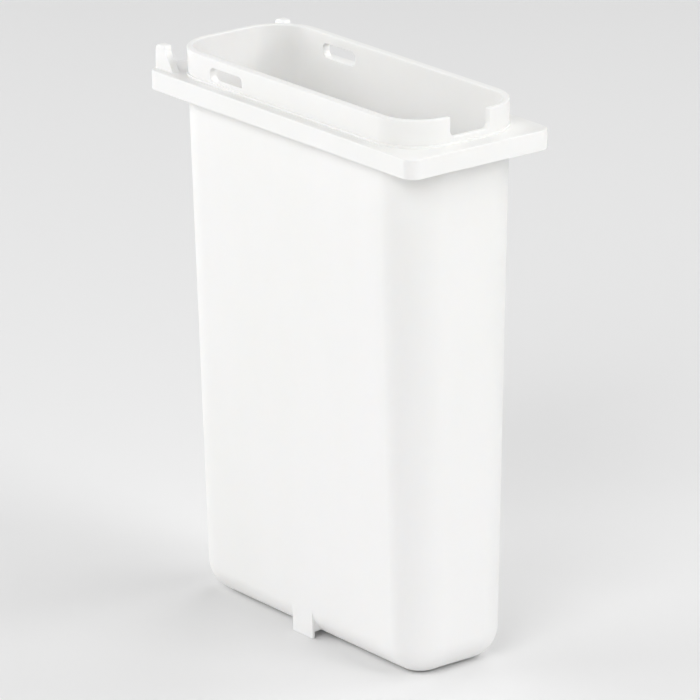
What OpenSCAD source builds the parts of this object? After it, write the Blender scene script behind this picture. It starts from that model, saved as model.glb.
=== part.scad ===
// Slim deep food jar: a one-piece moulded tub that stands on its floor or hangs by its flange.
// Long side along X, short side along Y, +Z up. The origin is the middle of the resting face.
// Widths and radii of the tub are given at the height of the flange's top face, and draft
// makes everything below that smaller and everything above it larger.

/* [Tub] */
// Outside length of the tub at the flange's top face
tub_length = 200; // [150:0.5:260]
// Outside width of the tub at the flange's top face
tub_width = 77.6; // [70:0.1:120]
// Height of the flange's top face above the resting face
tub_height = 285; // [120:0.5:360]
// Outside radius of the upright corners at the flange's top face
corner_radius = 25.6; // [22:0.1:32]
// Inside radius of the upright corners at the flange's top face
inner_corner_radius = 20; // [17:0.1:26]
// Slope of every wall from upright, in degrees
draft = 1.34; // [0.5:0.01:2]
// Thickness of the two long walls
side_wall = 4.6; // [3.5:0.1:6]
// Thickness of the two end walls
end_wall = 3.2; // [2.5:0.1:6]
// Thickness of the floor
floor_thickness = 4; // [2:0.1:8]
// Outside rounding between the walls and the floor
bottom_round = 17.5; // [10:0.1:20]
// Inside rounding between the walls and the floor
inner_bottom_round = 13.5; // [5:0.1:15]

/* [Flange] */
// How far the flange stands out past each end of the tub
flange_end_overhang = 10; // [8:0.1:20]
// How far the flange stands out past each long side of the tub
flange_side_overhang = 6.6; // [6:0.1:15]
// Height of the flange from its lower edge to its top face
flange_height = 10.5; // [8:0.1:20]
// Radius of the flange's corners in plan
flange_corner = 7; // [4:0.1:12]
// Thickness of the flange's top plate
plate_thickness = 3; // [2:0.1:5]
// Thickness of the skirt that hangs from the plate's edge
skirt_thickness = 2.6; // [2:0.1:3.5]

/* [Collar] */
// Height of the collar above the flange's top face
collar_height = 14.4; // [12:0.1:30]
// Height of the bead round the collar's foot
bead_height = 1.2; // [0.5:0.1:1.6]
// How far the bead stands out from the collar
bead_width = 0.8; // [0.4:0.1:1.2]

/* [Notch and slots] */
// Width of the notch in the right end of the collar
notch_width = 24.5; // [14:0.1:34]
// Height of the notch's bottom above the flange's top face
notch_sill = 3.9; // [2:0.1:6]
// Radius of the notch's two lower corners
notch_radius = 3.2; // [1:0.1:6]
// Length of the slot in each long wall of the collar
slot_length = 27; // [12:0.1:34]
// Height of each slot
slot_height = 7.6; // [5:0.1:8.5]
// Radius of each slot's corners
slot_radius = 3; // [1:0.1:3.5]
// Height of each slot's lower edge above the flange's top face
slot_sill = 1.8; // [1.7:0.1:3]
// Distance from the middle of the jar to the middle of each slot
slot_offset = 50; // [20:0.5:56]

/* [Corner posts] */
// Length of each post at its foot
post_foot_length = 15.4; // [12:0.1:20]
// Length of each post at its top
post_top_length = 8.5; // [5:0.1:10]
// Thickness of each post
post_thickness = 4.4; // [3:0.1:5]
// Height of each post above the flange's top face
post_height = 13.2; // [11:0.1:25]
// Height at which a post starts to widen towards its foot
post_shoulder = 10; // [5:0.1:10.5]
// Radius of a post's outer top corner
post_outer_round = 3.5; // [1:0.1:4]
// Radius of a post's inner top corner
post_inner_round = 1.5; // [0.5:0.1:1.6]
// Distance from the flange's left edge to each post
post_end_inset = 2; // [2:0.1:4]
// Distance from the flange's long edge to each post
post_side_inset = 4.4; // [1:0.1:6]

/* [Foot tabs] */
// Length of each foot tab along the tub
tab_length = 17; // [8:0.1:40]
// Thickness of the lip that each foot tab ends in
tab_lip = 1.7; // [1:0.1:3]
// Height of the lip, from the resting face to where the tab thickens to meet the tub
tab_step = 3.8; // [2:0.1:6]

/* [Hidden] */
$fn = 96;
over = 1;                                      // how far a cutter runs past what it cuts
flange_length = tub_length + 2 * flange_end_overhang;
flange_width = tub_width + 2 * flange_side_overhang;
flange_bottom = tub_height - flange_height;
rim_height = tub_height + collar_height;
outer = [tub_length / 2 - corner_radius, tub_width / 2 - corner_radius, corner_radius];
inner = [tub_length / 2 - end_wall - inner_corner_radius,
         tub_width / 2 - side_wall - inner_corner_radius, inner_corner_radius];
// The tab ends where the tub's rounding has left the wall's plane by tab_tip
tab_tip = 0.25;
plastic = [0.94, 0.94, 0.93];

// How much wider the walls stand at height z than at the flange's top face
function lean(z) = (z - tub_height) * tan(draft);

// The rounding that is asked for, or the largest that the corner at height low has room for
function foot_round(asked, radius, low) =
    min(asked, 0.99 * (radius + lean(low)) / (1 / cos(draft) - tan(draft)));

outer_foot = foot_round(bottom_round, corner_radius, 0);
inner_foot = foot_round(inner_bottom_round, inner_corner_radius, floor_thickness);

// Half outline of a wall and its rounded foot: x from the corner's axis, y as height.
// radius is the wall's place at the flange's top face, low and high are its two ends.
module wall_outline(radius, low, high, round_foot) {
    centre_y = low + round_foot;
    centre_x = radius + lean(centre_y) - round_foot / cos(draft);
    touch = [centre_x + round_foot * cos(draft), centre_y - round_foot * sin(draft)];
    polygon([[0, low], [centre_x, low], touch, [radius + lean(high), high], [0, high]]);
    intersection() {
        translate([centre_x, centre_y]) circle(round_foot);
        polygon([[centre_x, low - over], [centre_x + 2 * round_foot, low - over],
                 [centre_x + 2 * round_foot, touch[1]], touch, [centre_x, low]]);
    }
}

// Full outline across the block: two half outlines, centre apart, and what lies between them
module block_outline(centre, radius, low, high, round_foot) {
    for (side = [0, 1])
        mirror([side, 0]) translate([centre, 0]) wall_outline(radius, low, high, round_foot);
    translate([-centre, low]) square([2 * centre, high - low]);
}

// Drafted block with round upright corners and a rounded foot.
// shape is [x of a corner's axis, y of a corner's axis, corner radius at the flange's top face].
module drafted_block(shape, low, high, round_foot) {
    for (turn = [0, 1])
        rotate(180 * turn) {
            translate([shape[0], shape[1], 0])
                rotate_extrude(angle = 90) wall_outline(shape[2], low, high, round_foot);
            translate([shape[0], -shape[1], 0])
                rotate(-90) rotate_extrude(angle = 90) wall_outline(shape[2], low, high, round_foot);
        }
    rotate([90, 0, 0]) linear_extrude(2 * shape[1], center = true)
        block_outline(shape[0], shape[2], low, high, round_foot);
    rotate([90, 0, 90]) linear_extrude(2 * shape[0], center = true)
        block_outline(shape[1], shape[2], low, high, round_foot);
}

module outer_block() {
    drafted_block(outer, 0, rim_height, outer_foot);
}

module inner_block() {
    drafted_block(inner, floor_thickness, rim_height + over, inner_foot);
}

// Everything between two heights, wide enough to hold the whole jar
module layer(low, high) {
    translate([-flange_length, -flange_width, low])
        cube([2 * flange_length, 2 * flange_width, high - low]);
}

module rounded_rectangle(size, radius) {
    square([size[0] - 2 * radius, size[1]], center = true);
    square([size[0], size[1] - 2 * radius], center = true);
    for (x = [-1, 1], y = [-1, 1])
        translate([x * (size[0] / 2 - radius), y * (size[1] / 2 - radius)]) circle(radius);
}

// Outline of the flange, drawn in by inset
module flange_outline(inset) {
    rounded_rectangle([flange_length - 2 * inset, flange_width - 2 * inset], flange_corner - inset);
}

module tub_walls() color(plastic)
    difference() {
        outer_block();
        inner_block();
        layer(-over, floor_thickness);
        layer(tub_height, rim_height + over);
    }

module tub_floor() color(plastic)
    intersection() {
        outer_block();
        layer(0, floor_thickness);
    }

module flange_plate() color(plastic)
    difference() {
        translate([0, 0, tub_height - plate_thickness]) linear_extrude(plate_thickness) flange_outline(0);
        outer_block();
    }

module flange_skirt() color(plastic)
    translate([0, 0, flange_bottom]) linear_extrude(flange_height - plate_thickness)
        difference() {
            flange_outline(0);
            flange_outline(skirt_thickness);
        }

// Opening for a ladle in the right end of the collar
module notch_cut() {
    sill = tub_height + notch_sill;
    reach = rim_height + over - sill;
    translate([outer[0], 0, sill]) rotate([90, 0, 90]) linear_extrude(corner_radius + 2 * bead_width + over) {
        translate([-notch_width / 2, notch_radius]) square([notch_width, reach - notch_radius]);
        translate([notch_radius - notch_width / 2, 0]) square([notch_width - 2 * notch_radius, reach]);
        for (side = [-1, 1])
            translate([side * (notch_width / 2 - notch_radius), notch_radius]) circle(notch_radius);
    }
}

// Matching slots through both long walls of the collar
module slot_cut() {
    translate([-slot_offset, 0, tub_height + slot_sill + slot_height / 2])
        rotate([90, 0, 0]) linear_extrude(tub_width + 2 * over + 2 * bead_width, center = true)
            rounded_rectangle([slot_length, slot_height], slot_radius);
}

module collar() color(plastic)
    difference() {
        outer_block();
        inner_block();
        layer(-over, tub_height);
        notch_cut();
        slot_cut();
    }

module collar_bead() color(plastic)
    difference() {
        translate([0, 0, tub_height]) linear_extrude(bead_height)
            rounded_rectangle([tub_length + 2 * bead_width, tub_width + 2 * bead_width],
                              corner_radius + bead_width);
        outer_block();
    }

// Outline of a post in the upright plane: x from its outer edge inwards, y as height
module post_outline() {
    difference() {
        polygon([[0, 0], [post_foot_length, 0], [post_top_length, post_shoulder],
                 [post_top_length, post_height], [0, post_height]]);
        translate([0, post_height]) mirror([0, 1]) corner_trim(post_outer_round);
        translate([post_top_length, post_height]) mirror([1, 1]) rotate(-90) mirror([0, 1])
            corner_trim(post_inner_round);
    }
}

// What rounding takes off a square corner that lies at the origin and fills the first quadrant
module corner_trim(radius) {
    difference() {
        square(radius);
        translate([radius, radius]) circle(radius);
    }
}

module corner_post() {
    translate([post_end_inset - flange_length / 2, flange_width / 2 - post_side_inset, tub_height])
        rotate([90, 0, 0]) linear_extrude(post_thickness) post_outline();
}

module corner_post_front() color(plastic) mirror([0, 1, 0]) corner_post();

module corner_post_rear() color(plastic) corner_post();

// The tab fills the space between the long wall's plane and the tub's rounding, down to its
// step. Below the step only a thin lip goes on, in the wall's plane, to the resting face.
module foot_tab() {
    wall_y = tub_width / 2;
    lip_y = wall_y + lean(0) - tab_lip;
    round_y = wall_y + lean(outer_foot) - outer_foot / cos(draft);
    tip = outer_foot - sqrt(2 * tab_tip * outer_foot);
    rotate([90, 0, 90]) linear_extrude(tab_length, center = true)
        difference() {
            polygon([[lip_y, 0], [wall_y + lean(0), 0], [wall_y + lean(tip), tip],
                     [round_y, tip], [round_y, tab_step], [lip_y, tab_step]]);
            translate([round_y, outer_foot]) circle(outer_foot);
        }
}

module foot_tab_front() color(plastic) mirror([0, 1, 0]) foot_tab();

module foot_tab_rear() color(plastic) foot_tab();

tub_walls();
tub_floor();
flange_plate();
flange_skirt();
collar();
collar_bead();
corner_post_front();
corner_post_rear();
foot_tab_front();
foot_tab_rear();
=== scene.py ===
# %% [markdown]
# # A slim deep food jar
#
# The real jar is one piece of white plastic, moulded in a single shot. It is tall and narrow, it
# tapers towards a rounded foot, and it hangs in a serving rail by a flange with a skirt. A low
# collar with two slots and a ladle notch stands above the flange. We build it the way a mould maker
# thinks: one skin that runs from the underside, up the outside, round the flange, over the rim and
# down the inside, and then a few cuts and ribs.

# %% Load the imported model
import math
from collections import Counter, namedtuple

import bmesh
import bpy
from mathutils import Matrix, Vector


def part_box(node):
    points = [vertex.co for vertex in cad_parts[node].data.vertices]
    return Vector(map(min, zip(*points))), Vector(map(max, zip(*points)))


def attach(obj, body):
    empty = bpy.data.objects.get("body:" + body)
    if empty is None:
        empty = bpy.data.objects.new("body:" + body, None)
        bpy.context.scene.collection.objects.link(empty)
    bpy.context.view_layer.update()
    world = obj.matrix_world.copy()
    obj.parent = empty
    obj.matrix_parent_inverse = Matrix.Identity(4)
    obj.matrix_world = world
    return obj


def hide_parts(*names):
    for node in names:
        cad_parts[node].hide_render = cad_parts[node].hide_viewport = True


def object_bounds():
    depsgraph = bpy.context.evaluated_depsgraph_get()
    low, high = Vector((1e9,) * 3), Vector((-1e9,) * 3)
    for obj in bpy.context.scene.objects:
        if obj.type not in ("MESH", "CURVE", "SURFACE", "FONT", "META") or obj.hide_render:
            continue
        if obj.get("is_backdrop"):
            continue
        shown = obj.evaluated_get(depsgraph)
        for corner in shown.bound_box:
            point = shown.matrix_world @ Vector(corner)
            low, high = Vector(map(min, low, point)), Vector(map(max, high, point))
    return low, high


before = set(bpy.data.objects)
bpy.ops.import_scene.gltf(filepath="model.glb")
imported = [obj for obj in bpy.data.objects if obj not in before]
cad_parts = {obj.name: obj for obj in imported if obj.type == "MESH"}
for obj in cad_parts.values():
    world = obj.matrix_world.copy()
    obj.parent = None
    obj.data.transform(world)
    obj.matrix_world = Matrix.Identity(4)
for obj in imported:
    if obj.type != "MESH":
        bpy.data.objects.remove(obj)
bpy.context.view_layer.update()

MM = 0.001
ML = 0.000001                        # a millilitre in cubic metres
print("nodes:", ", ".join(sorted(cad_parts)))

# %% [markdown]
# ## The camera
#
# A short lens close by would make the jar's upright edges lean. A long lens from nearly three metres
# away keeps them almost parallel, which is how catalogues show such things. The camera stands to the
# right of the front and looks a little down, so that the mouth, the long side and the notched end
# are all seen.

# %% Place the camera
CAMERA_PLACE = Vector((2230.4, -1725.7, 1095.7)) * MM
CAMERA_AIM = Vector((33.78, -25.24, 163.75)) * MM
CAMERA_TILT = math.radians(0.6)
LENS_MM = 296.5
SENSOR_MM = 36

camera_data = bpy.data.cameras.new("camera")
camera_data.lens = LENS_MM
camera_data.sensor_width = SENSOR_MM
camera = bpy.data.objects.new("camera", camera_data)
bpy.context.scene.collection.objects.link(camera)
bpy.context.scene.camera = camera
turn = (CAMERA_AIM - CAMERA_PLACE).to_track_quat("-Z", "Y").to_matrix().to_4x4()
camera.matrix_world = (Matrix.Translation(CAMERA_PLACE) @ turn
                       @ Matrix.Rotation(-CAMERA_TILT, 4, "Z"))
print(f"camera {(CAMERA_PLACE - CAMERA_AIM).length:.2f} m from what it looks at")

# %% [markdown]
# ## Sizes
#
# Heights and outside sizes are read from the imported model, so the skin lands exactly on it. Only
# what a box can't tell is written here: radii, wall thicknesses and the draft, which is the slope
# that lets a moulding leave its mould.

# %% Read the sizes
DRAFT = math.tan(math.radians(1.34))
CORNER_RADIUS = 25.6 * MM            # outside, at the flange's top face
INNER_CORNER_RADIUS = 20 * MM        # inside, at the same height
SIDE_WALL = 4.6 * MM
END_WALL = 3.2 * MM
FOOT_RADIUS = 17.5 * MM
INNER_FOOT_RADIUS = 13.5 * MM
FLANGE_CORNER = 7 * MM
SKIRT_THICKNESS = 2.6 * MM

_, walls_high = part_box("tub_walls")
plate_low, plate_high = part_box("flange_plate")
skirt_low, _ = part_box("flange_skirt")
_, collar_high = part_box("collar")
_, bead_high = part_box("collar_bead")
_, floor_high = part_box("tub_floor")

half_length, half_width = walls_high.x, walls_high.y
flange_top = plate_high.z
rim_height = collar_high.z
outer_axis = Vector((half_length - CORNER_RADIUS, half_width - CORNER_RADIUS))
inner_axis = Vector((half_length - END_WALL - INNER_CORNER_RADIUS,
                     half_width - SIDE_WALL - INNER_CORNER_RADIUS))
flange_axis = Vector((plate_high.x - FLANGE_CORNER, plate_high.y - FLANGE_CORNER))
print(f"tub {2 * half_length / MM:.1f} x {2 * half_width / MM:.1f} mm,",
      f"flange's top face {flange_top / MM:.1f} mm up")

# %% [markdown]
# ## The skin
#
# A box with rounded upright edges and a Solidify modifier would come close to this jar. But its
# inside has corners, wall thicknesses and a floor of its own, and the flange has to grow out of the
# same skin. So the skin is built as a stack of outlines.
#
# Leaving out the cuts and ribs, every outline that a level cut makes through the jar is a rectangle
# with round corners. It needs only four numbers: where a corner's axis stands, in X and in Y, the
# corner's radius, and the height. The first outline is made from four corners that the bevel tool
# rounds. Then the cap is extruded again and again, and each new ring is moved to the next outline.
# Because every ring has the same number of points, the faces between them stay clean four-sided
# strips.

# %% Extrude a cap from one level to the next
CORNER_STEPS = 16
Level = namedtuple("Level", "axis radius height")


def first_cap(bm, level):
    """Makes a level face with round corners."""
    reach_x = level.axis.x + level.radius
    reach_y = level.axis.y + level.radius
    corners = [bm.verts.new((x * reach_x, y * reach_y, level.height))
               for x, y in ((-1, -1), (1, -1), (1, 1), (-1, 1))]
    bm.faces.new(corners)
    bmesh.ops.bevel(bm, geom=corners, offset=level.radius, offset_type="OFFSET",
                    segments=CORNER_STEPS, profile=0.5, affect="VERTICES", material=-1)
    bm.faces.ensure_lookup_table()
    return max(bm.faces, key=lambda face: face.calc_area())


def next_cap(bm, cap, old, new):
    """Extrudes the cap from the old level to the new one."""
    made = bmesh.ops.extrude_discrete_faces(bm, faces=[cap])["faces"][0]
    for vert in made.verts:
        for side in (0, 1):
            sign = math.copysign(1, vert.co[side])
            share = (abs(vert.co[side]) - old.axis[side]) / old.radius
            vert.co[side] = sign * (new.axis[side] + share * new.radius)
        vert.co.z = new.height
    return made


print("points in each ring:", 4 * (CORNER_STEPS + 1))

# %% Work out the levels of a foot and of a wall
FOOT_STEPS = 10
WALL_STEPS = 6


def lean(height):
    """How much wider the walls stand at a height than at the flange's top face."""
    return (height - flange_top) * DRAFT


def foot(axis, radius, low, rounding):
    """Levels up a rounded foot, from the flat face at low to where the wall begins."""
    slope = math.atan(DRAFT)
    middle = radius + lean(low + rounding) - rounding / math.cos(slope)
    turns = [(math.pi / 2 - slope) * step / FOOT_STEPS for step in range(FOOT_STEPS + 1)]
    return [Level(axis, middle + rounding * math.sin(turn), low + rounding * (1 - math.cos(turn)))
            for turn in turns]


def wall(axis, radius, low, high):
    """Levels up a drafted wall, without its lowest one."""
    heights = [low + (high - low) * step / WALL_STEPS for step in range(1, WALL_STEPS + 1)]
    return [Level(axis, radius + lean(height), height) for height in heights]


print(f"each wall leans in by {-lean(0) / MM:.1f} mm from the flange's top face down to the ground")

# %% Skin the jar
outside = foot(outer_axis, CORNER_RADIUS, 0, FOOT_RADIUS)
outside += wall(outer_axis, CORNER_RADIUS, outside[-1].height, plate_low.z)
flange = [
    Level(flange_axis, FLANGE_CORNER - SKIRT_THICKNESS, plate_low.z),
    Level(flange_axis, FLANGE_CORNER - SKIRT_THICKNESS, skirt_low.z),
    Level(flange_axis, FLANGE_CORNER, skirt_low.z),
    Level(flange_axis, FLANGE_CORNER, flange_top),
]
collar = [
    Level(outer_axis, bead_high.x - outer_axis.x, flange_top),
    Level(outer_axis, bead_high.x - outer_axis.x, bead_high.z),
    Level(outer_axis, CORNER_RADIUS + lean(bead_high.z), bead_high.z),
    Level(outer_axis, CORNER_RADIUS + lean(rim_height), rim_height),
]
inside = foot(inner_axis, INNER_CORNER_RADIUS, floor_high.z, INNER_FOOT_RADIUS)
inside += wall(inner_axis, INNER_CORNER_RADIUS, inside[-1].height, rim_height)
levels = outside + flange + collar + inside[::-1]

skin = bmesh.new()
cap = first_cap(skin, levels[0])
for old, new in zip(levels, levels[1:]):
    cap = next_cap(skin, cap, old, new)

# the cap left the underside open
bmesh.ops.holes_fill(skin, edges=[edge for edge in skin.edges if edge.is_boundary], sides=0)

# splitting the skin in line with the foot tabs' sides keeps the shading even beside them
tab_low, tab_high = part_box("foot_tab_front")
for x in (tab_low.x, tab_high.x):
    bmesh.ops.bisect_plane(skin, geom=skin.verts[:] + skin.edges[:] + skin.faces[:],
                           plane_co=(x, 0, 0), plane_no=(1, 0, 0))
bmesh.ops.recalc_face_normals(skin, faces=skin.faces)
print("skin:", "closed," if all(edge.is_manifold for edge in skin.edges) else "open,",
      f"{len(levels)} levels, {len(skin.faces)} faces, {skin.calc_volume() / ML:.1f} ml of plastic")

# %% [markdown]
# ## Cuts and ribs
#
# A ladle notch opens the right end of the collar, and a slot goes through each long wall for a lid's
# catch. Two posts stand on the flange's left corners, and a small stepped tab is moulded at the foot
# of each long wall. Each of these is a flat outline that is extruded to a prism. Working them into
# the skin's own faces by hand would be slow and easy to get wrong. The Boolean modifier takes the
# cuts away and joins the ribs on, and the jar stays one closed skin.

# %% Prisms and Booleans
ROUND_STEPS = 8


def to_object(bm, name):
    """Turns a bmesh into an object in the scene."""
    mesh = bpy.data.meshes.new(name)
    bm.to_mesh(mesh)
    bm.free()
    made = bpy.data.objects.new(name, mesh)
    bpy.context.scene.collection.objects.link(made)
    return made


def prism(name, outline, rounds, place, travel):
    """Extrudes a flat outline along travel.

    outline lists its corners as pairs, rounds gives the radius of each corner, and place turns a
    pair into a point in space.
    """
    bm = bmesh.new()
    corners = [bm.verts.new(place(*point)) for point in outline]
    bm.faces.new(corners)
    for corner, radius in zip(corners, rounds):
        if radius:
            bmesh.ops.bevel(bm, geom=[corner], offset=radius, offset_type="OFFSET",
                            segments=ROUND_STEPS, profile=0.5, affect="VERTICES", material=-1)
    far = bmesh.ops.extrude_face_region(bm, geom=bm.faces[:])["geom"]
    far_verts = [part for part in far if isinstance(part, bmesh.types.BMVert)]
    bmesh.ops.translate(bm, vec=travel, verts=far_verts)
    bmesh.ops.recalc_face_normals(bm, faces=bm.faces)
    return to_object(bm, name)


def combine(piece, tool, operation):
    """Cuts the tool from the piece or joins it on, and removes the tool."""
    step = piece.modifiers.new(operation, "BOOLEAN")
    step.operation = operation
    step.solver = "EXACT"
    step.object = tool
    bpy.context.view_layer.update()
    changed = piece.evaluated_get(bpy.context.evaluated_depsgraph_get())
    result = bpy.data.meshes.new_from_object(changed)
    piece.modifiers.clear()
    piece.data = result
    bpy.data.objects.remove(tool)


jar = to_object(skin, "jar")
print("before the cuts:", len(jar.data.polygons), "faces")

# %% Cut the slots
SLOT_LENGTH = 27 * MM
SLOT_HEIGHT = 7.6 * MM
SLOT_ROUND = 3 * MM
SLOT_SILL = 1.8 * MM                 # above the flange's top face
SLOT_OFFSET = 50 * MM                # to the left of the jar's middle
PAST = 2 * MM                        # how far a cutter runs past what it cuts

slot_low = flange_top + SLOT_SILL
slot_high = slot_low + SLOT_HEIGHT
slot_left = -SLOT_OFFSET - SLOT_LENGTH / 2
slot_right = -SLOT_OFFSET + SLOT_LENGTH / 2
side_reach = collar_high.y + PAST
slot_cutter = prism("slot_cutter",
                    [(slot_left, slot_low), (slot_right, slot_low),
                     (slot_right, slot_high), (slot_left, slot_high)],
                    [SLOT_ROUND] * 4, lambda x, z: (x, -side_reach, z), (0, 2 * side_reach, 0))
combine(jar, slot_cutter, "DIFFERENCE")
print("after the slots:", len(jar.data.polygons), "faces")

# %% Cut the ladle notch
NOTCH_WIDTH = 24.5 * MM
NOTCH_SILL = 3.9 * MM                # above the flange's top face
NOTCH_ROUND = 3.2 * MM

sill = flange_top + NOTCH_SILL
notch_cutter = prism("notch_cutter",
                     [(-NOTCH_WIDTH / 2, sill), (NOTCH_WIDTH / 2, sill),
                      (NOTCH_WIDTH / 2, rim_height + PAST), (-NOTCH_WIDTH / 2, rim_height + PAST)],
                     [NOTCH_ROUND, NOTCH_ROUND, 0, 0], lambda y, z: (outer_axis.x, y, z),
                     (CORNER_RADIUS + 2 * PAST, 0, 0))
combine(jar, notch_cutter, "DIFFERENCE")
print("after the notch:", len(jar.data.polygons), "faces")

# %% Join on the corner posts
POSTS = ("corner_post_front", "corner_post_rear")
POST_TOP_LENGTH = 8.5 * MM
POST_SHOULDER = 10 * MM              # how far up the sloping side ends
POST_INNER_ROUND = 1.5 * MM
POST_OUTER_ROUND = 3.5 * MM
ROOT = 1 * MM                        # how deep a post reaches into the flange it grows from

for name in POSTS:
    low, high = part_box(name)
    post = prism(name + "_rib",
                 [(low.x, low.z - ROOT), (high.x, low.z - ROOT), (high.x, low.z),
                  (low.x + POST_TOP_LENGTH, low.z + POST_SHOULDER),
                  (low.x + POST_TOP_LENGTH, high.z), (low.x, high.z)],
                 [0, 0, 0, 0, POST_INNER_ROUND, POST_OUTER_ROUND],
                 lambda x, z: (x, low.y, z), (0, high.y - low.y, 0))
    combine(jar, post, "UNION")
print("after the posts:", len(jar.data.polygons), "faces")

# %% [markdown]
# The tab on each long wall's foot lies in the wall's own plane. The wall rounds away behind it, so
# the tab is a block that fills that space down to a step, and a thin lip below the step. The block's
# back follows the rounding, a little way into the wall, so that the two join without a gap.

# %% Join on the foot tabs
TABS = ("foot_tab_front", "foot_tab_rear")
TAB_LIP = 1.7 * MM                   # how thick the lip is
TAB_STEP = 3.8 * MM                  # how far up the step is
TAB_BITE = 1.5 * MM                  # how deep the block's back reaches into the wall
TAB_BACK_STEPS = 6
HAIR = 0.03 * MM                     # keeps the tab's face just under the wall's, so they don't fight

foot_width = half_width + lean(0)    # where the wall's plane would meet the ground
round_middle = half_width + lean(FOOT_RADIUS) - FOOT_RADIUS / math.cos(math.atan(DRAFT))
back_radius = FOOT_RADIUS - TAB_BITE
step_turn = math.asin((FOOT_RADIUS - TAB_STEP) / back_radius)
back = []
for step in range(TAB_BACK_STEPS + 1):
    turn = step_turn * step / TAB_BACK_STEPS
    back.append((round_middle + back_radius * math.cos(turn),
                 FOOT_RADIUS - back_radius * math.sin(turn)))
tab_outline = [(foot_width - TAB_LIP, 0), (foot_width - HAIR, 0),
               (half_width + lean(FOOT_RADIUS) - HAIR, FOOT_RADIUS)]
tab_outline += back
tab_outline += [(foot_width - TAB_LIP, TAB_STEP)]

for name in TABS:
    low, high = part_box(name)
    side = math.copysign(1, low.y)
    tab = prism(name + "_rib", tab_outline, [0] * len(tab_outline),
                lambda y, z: (low.x, side * y, z), (high.x - low.x, 0, 0))
    combine(jar, tab, "UNION")
print("after the tabs:", len(jar.data.polygons), "faces")

# %% [markdown]
# ## Rounded edges
#
# No moulded edge is knife sharp. Roundings could be drawn into the outlines of the skin, but the
# cuts and ribs make edges that no outline has. So each sharp edge is given a bevel weight by where
# it lies, and one Bevel modifier rounds them all together, so that roundings of different widths
# meet cleanly. Weighted normals keep the flat faces flat right up to the rounded edges.
#
# Some inner corners stay crisp. Most of them are at the posts' feet on the flange and along both
# sides of the low bead round the collar. The faces beside those are thin strips, and a rounding
# there would slide along a strip and leave a dark mark. Such edges are marked sharp instead.

# %% Say how wide each edge is rounded
WIDEST = 1 * MM
CRISP = 0
RIM_EDGE = 0.8 * MM
SLOT_EDGE = 0.35 * MM
FLANGE_EDGE = 0.8 * MM
SKIRT_EDGE = 0.5 * MM
BEAD_EDGE = 0.35 * MM
RIB_EDGE = 0.5 * MM
TAB_ROOT = 0.4 * MM
PLATE_ROOT = 1 * MM
NEAR = 0.05 * MM
OUT_ON_FLANGE = 2 * MM               # an edge this far outside the bead is the flange's

post_boxes = [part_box(name) for name in POSTS]
tab_boxes = [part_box(name) for name in TABS]


def in_any(point, boxes):
    """Tells if a point is in one of the boxes, or as good as in it."""
    return any(all(a - NEAR <= p <= b + NEAR for p, a, b in zip(point, low, high))
               for low, high in boxes)


def flange_edge_width(middle, hollow):
    """How wide an edge out on the flange or its skirt is rounded."""
    if hollow:
        return PLATE_ROOT
    if middle.z > plate_low.z or abs(middle.x) > plate_high.x - NEAR:
        return FLANGE_EDGE
    return SKIRT_EDGE


def edge_width(middle, hollow):
    """How wide the edge with this middle point is rounded. A hollow edge is an inner corner."""
    if in_any(middle, post_boxes):
        return CRISP if hollow else RIB_EDGE
    if in_any(middle, tab_boxes):
        return TAB_ROOT if hollow else RIB_EDGE
    if middle.z > rim_height - NEAR or (middle.x > inner_axis.x and middle.z > sill - NEAR):
        return RIM_EDGE
    if middle.z > slot_low - NEAR:
        return SLOT_EDGE
    if abs(middle.x) > bead_high.x + OUT_ON_FLANGE or abs(middle.y) > bead_high.y + OUT_ON_FLANGE:
        return flange_edge_width(middle, hollow)
    if middle.z > flange_top - NEAR:
        return CRISP if hollow else BEAD_EDGE
    return PLATE_ROOT if middle.z > skirt_low.z - NEAR else CRISP


print("the widest rounding is", WIDEST / MM, "mm")

# %% Weigh the edges
SHARP = math.radians(25)             # a gentler bend than this is part of a curve
MERGE = 0.002 * MM                   # points closer than this are one point

bm = bmesh.new()
bm.from_mesh(jar.data)
bmesh.ops.remove_doubles(bm, verts=bm.verts, dist=MERGE)
weight = bm.edges.layers.float.new("bevel_weight_edge")
counts = Counter()
for edge in bm.edges:
    if edge.calc_face_angle(0) > SHARP:
        middle = (edge.verts[0].co + edge.verts[1].co) / 2
        width = edge_width(middle, not edge.is_convex)
        edge[weight] = width / WIDEST
        edge.smooth = width > CRISP
        counts[round(width / MM, 2)] += 1
for face in bm.faces:
    face.smooth = True
bm.to_mesh(jar.data)
bm.free()
print("edges by the width of their rounding in mm:", dict(counts))

# %% Round them
BEVEL_STEPS = 3

rounding = jar.modifiers.new("rounding", "BEVEL")
rounding.limit_method = "WEIGHT"
rounding.width = WIDEST
rounding.segments = BEVEL_STEPS
rounding.profile = 0.5
rounding.use_clamp_overlap = False
flat = jar.modifiers.new("flat faces", "WEIGHTED_NORMAL")
flat.keep_sharp = True

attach(jar, "root")
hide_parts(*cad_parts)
print("one jar stands for", len(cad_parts), "nodes of the packed model")

# %% [markdown]
# ## The plastic
#
# The jar is white plastic with a fine satin texture, which the mould gives it. It is not one flat
# white: the colour drifts a little where the melt flowed, the gloss varies, and light goes a few
# millimetres into it before it comes out. The drift and the grain could be painted on an unwrapped
# jar. Here noise makes them from the jar's own coordinates, so nothing needs unwrapping and the
# pattern stays put when the jar is turned.

# %% Start the plastic
PLASTIC_IOR = 1.5
SOFT_SHARE = 0.25                    # the share of the light that goes into the plastic
SOFT_DEPTH = 2.5 * MM
SOFT_COLOURS = (1.0, 0.9, 0.8)       # red goes deepest

plastic = bpy.data.materials.new("satin_white_plastic")
plastic.use_nodes = True
tree = plastic.node_tree
shader = tree.nodes["Principled BSDF"]
shader.inputs["IOR"].default_value = PLASTIC_IOR
shader.inputs["Subsurface Weight"].default_value = SOFT_SHARE
shader.inputs["Subsurface Radius"].default_value = SOFT_COLOURS
shader.inputs["Subsurface Scale"].default_value = SOFT_DEPTH
print("material:", plastic.name)


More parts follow.
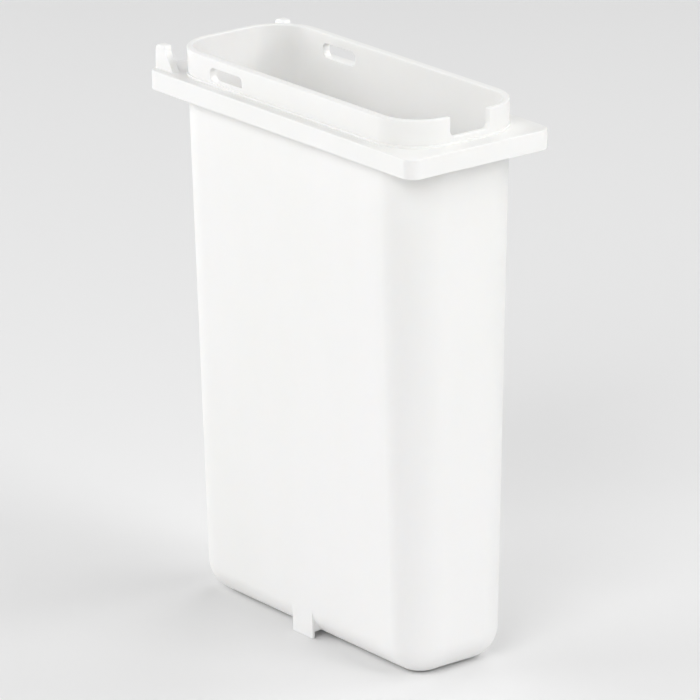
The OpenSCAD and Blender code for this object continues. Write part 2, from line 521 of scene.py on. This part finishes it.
# %% Let the colour drift
def node(kind, **settings):
    """Adds a node to the plastic and sets its sockets by name."""
    made = tree.nodes.new(kind)
    for name, value in settings.items():
        made.inputs[name].default_value = value
    return made


FLOW_PER_METRE = 14
FLOW_STRETCH = (1, 1, 0.3)           # the melt ran up the walls, so the patches are tall
DULLER_WHITE = (0.92, 0.92, 0.905, 1)
BRIGHTER_WHITE = (0.94, 0.935, 0.93, 1)
DULLER_AT = 0.35
BRIGHTER_AT = 0.65

places = node("ShaderNodeTexCoord")
stretch = node("ShaderNodeMapping", Scale=FLOW_STRETCH)
tree.links.new(places.outputs["Object"], stretch.inputs["Vector"])
flow = node("ShaderNodeTexNoise", Scale=FLOW_PER_METRE, Detail=3, Roughness=0.5)
tree.links.new(stretch.outputs["Vector"], flow.inputs["Vector"])

colours = node("ShaderNodeValToRGB")
duller, brighter = colours.color_ramp.elements
duller.position = DULLER_AT
duller.color = DULLER_WHITE
brighter.position = BRIGHTER_AT
brighter.color = BRIGHTER_WHITE
tree.links.new(flow.outputs["Fac"], colours.inputs["Fac"])
tree.links.new(colours.outputs["Color"], shader.inputs["Base Color"])
print("colour patches about", round(1000 / FLOW_PER_METRE), "mm wide")

# %% Vary the gloss and raise the grain
GLOSS_PER_METRE = 180
GLOSSIEST = 0.42
DULLEST = 0.56
GRAIN_PER_METRE = 2200
GRAIN_STRENGTH = 0.35
GRAIN_HEIGHT = 0.03 * MM

patches = node("ShaderNodeTexNoise", Scale=GLOSS_PER_METRE, Detail=4, Roughness=0.6)
tree.links.new(places.outputs["Object"], patches.inputs["Vector"])
gloss = node("ShaderNodeMapRange")
gloss.inputs["To Min"].default_value = GLOSSIEST
gloss.inputs["To Max"].default_value = DULLEST
tree.links.new(patches.outputs["Fac"], gloss.inputs["Value"])
tree.links.new(gloss.outputs["Result"], shader.inputs["Roughness"])

grain = node("ShaderNodeTexNoise", Scale=GRAIN_PER_METRE, Detail=2, Roughness=0.5)
tree.links.new(places.outputs["Object"], grain.inputs["Vector"])
relief = node("ShaderNodeBump", Strength=GRAIN_STRENGTH, Distance=GRAIN_HEIGHT)
tree.links.new(grain.outputs["Fac"], relief.inputs["Height"])
tree.links.new(relief.outputs["Normal"], shader.inputs["Normal"])

jar.data.materials.clear()
jar.data.materials.append(plastic)
print(plastic.name, "has", len(tree.nodes), "nodes")

# %% [markdown]
# ## Floor and light
#
# White on white needs light that is soft but not quite even. One lamp would throw hard shadows, and
# a bright room alone would make every side the same flat white. Six large soft boxes stand round the
# jar instead, and the room adds only a faint even glow. The boxes differ in height and power, so
# that no two sides of the jar get quite the same light, and its corners still show.

# %% Lay the floor
FLOOR_HALF = 12                      # metres
PAPER_WHITE = (0.84, 0.84, 0.84, 1)
PAPER_ROUGHNESS = 0.9

bm = bmesh.new()
bmesh.ops.create_grid(bm, x_segments=1, y_segments=1, size=FLOOR_HALF)
floor = to_object(bm, "floor")
paper = bpy.data.materials.new("pale_paper")
paper.use_nodes = True
paper_shader = paper.node_tree.nodes["Principled BSDF"]
paper_shader.inputs["Base Color"].default_value = PAPER_WHITE
paper_shader.inputs["Roughness"].default_value = PAPER_ROUGHNESS
floor.data.materials.append(paper)
floor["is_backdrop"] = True
print("floor", 2 * FLOOR_HALF, "m wide")

# %% Hang the lights
JAR_MIDDLE = Vector((0, 0, 0.15))
BOX_DISTANCE = 2.8                   # metres
BOX_SIZE = 1.6                       # metres

# name, bearing from +X about +Z in degrees, height above the horizon in degrees, power in watts
SOFT_BOXES = [
    ("left", -160, 15, 27),
    ("front_left", -125, 25, 17),
    ("front", -60, 35, 27),
    ("right", 20, 30, 27),
    ("rear_right", 60, 45, 19),
    ("rear_left", 120, 45, 14),
]

for name, bearing, rise, power in SOFT_BOXES:
    bearing = math.radians(bearing)
    rise = math.radians(rise)
    outward = Vector((math.cos(bearing) * math.cos(rise),
                      math.sin(bearing) * math.cos(rise),
                      math.sin(rise)))
    lamp = bpy.data.lights.new(name, "AREA")
    lamp.shape = "DISK"
    lamp.size = BOX_SIZE
    lamp.energy = power
    soft_box = bpy.data.objects.new(name, lamp)
    bpy.context.scene.collection.objects.link(soft_box)
    soft_box.location = JAR_MIDDLE + outward * BOX_DISTANCE
    soft_box.rotation_euler = (-outward).to_track_quat("-Z", "Y").to_euler()
print(len(SOFT_BOXES), "soft boxes")

# %% Light the room
ROOM_WHITE = (1, 1, 1, 1)
ROOM_GLOW = 0.2

world = bpy.data.worlds.new("room")
world.use_nodes = True
bpy.context.scene.world = world
room = world.node_tree.nodes["Background"]
room.inputs["Color"].default_value = ROOM_WHITE
room.inputs["Strength"].default_value = ROOM_GLOW
bpy.context.scene.view_settings.view_transform = "Standard"
print("room glow", ROOM_GLOW)

# %% Measure the sizes and finish
low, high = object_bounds()
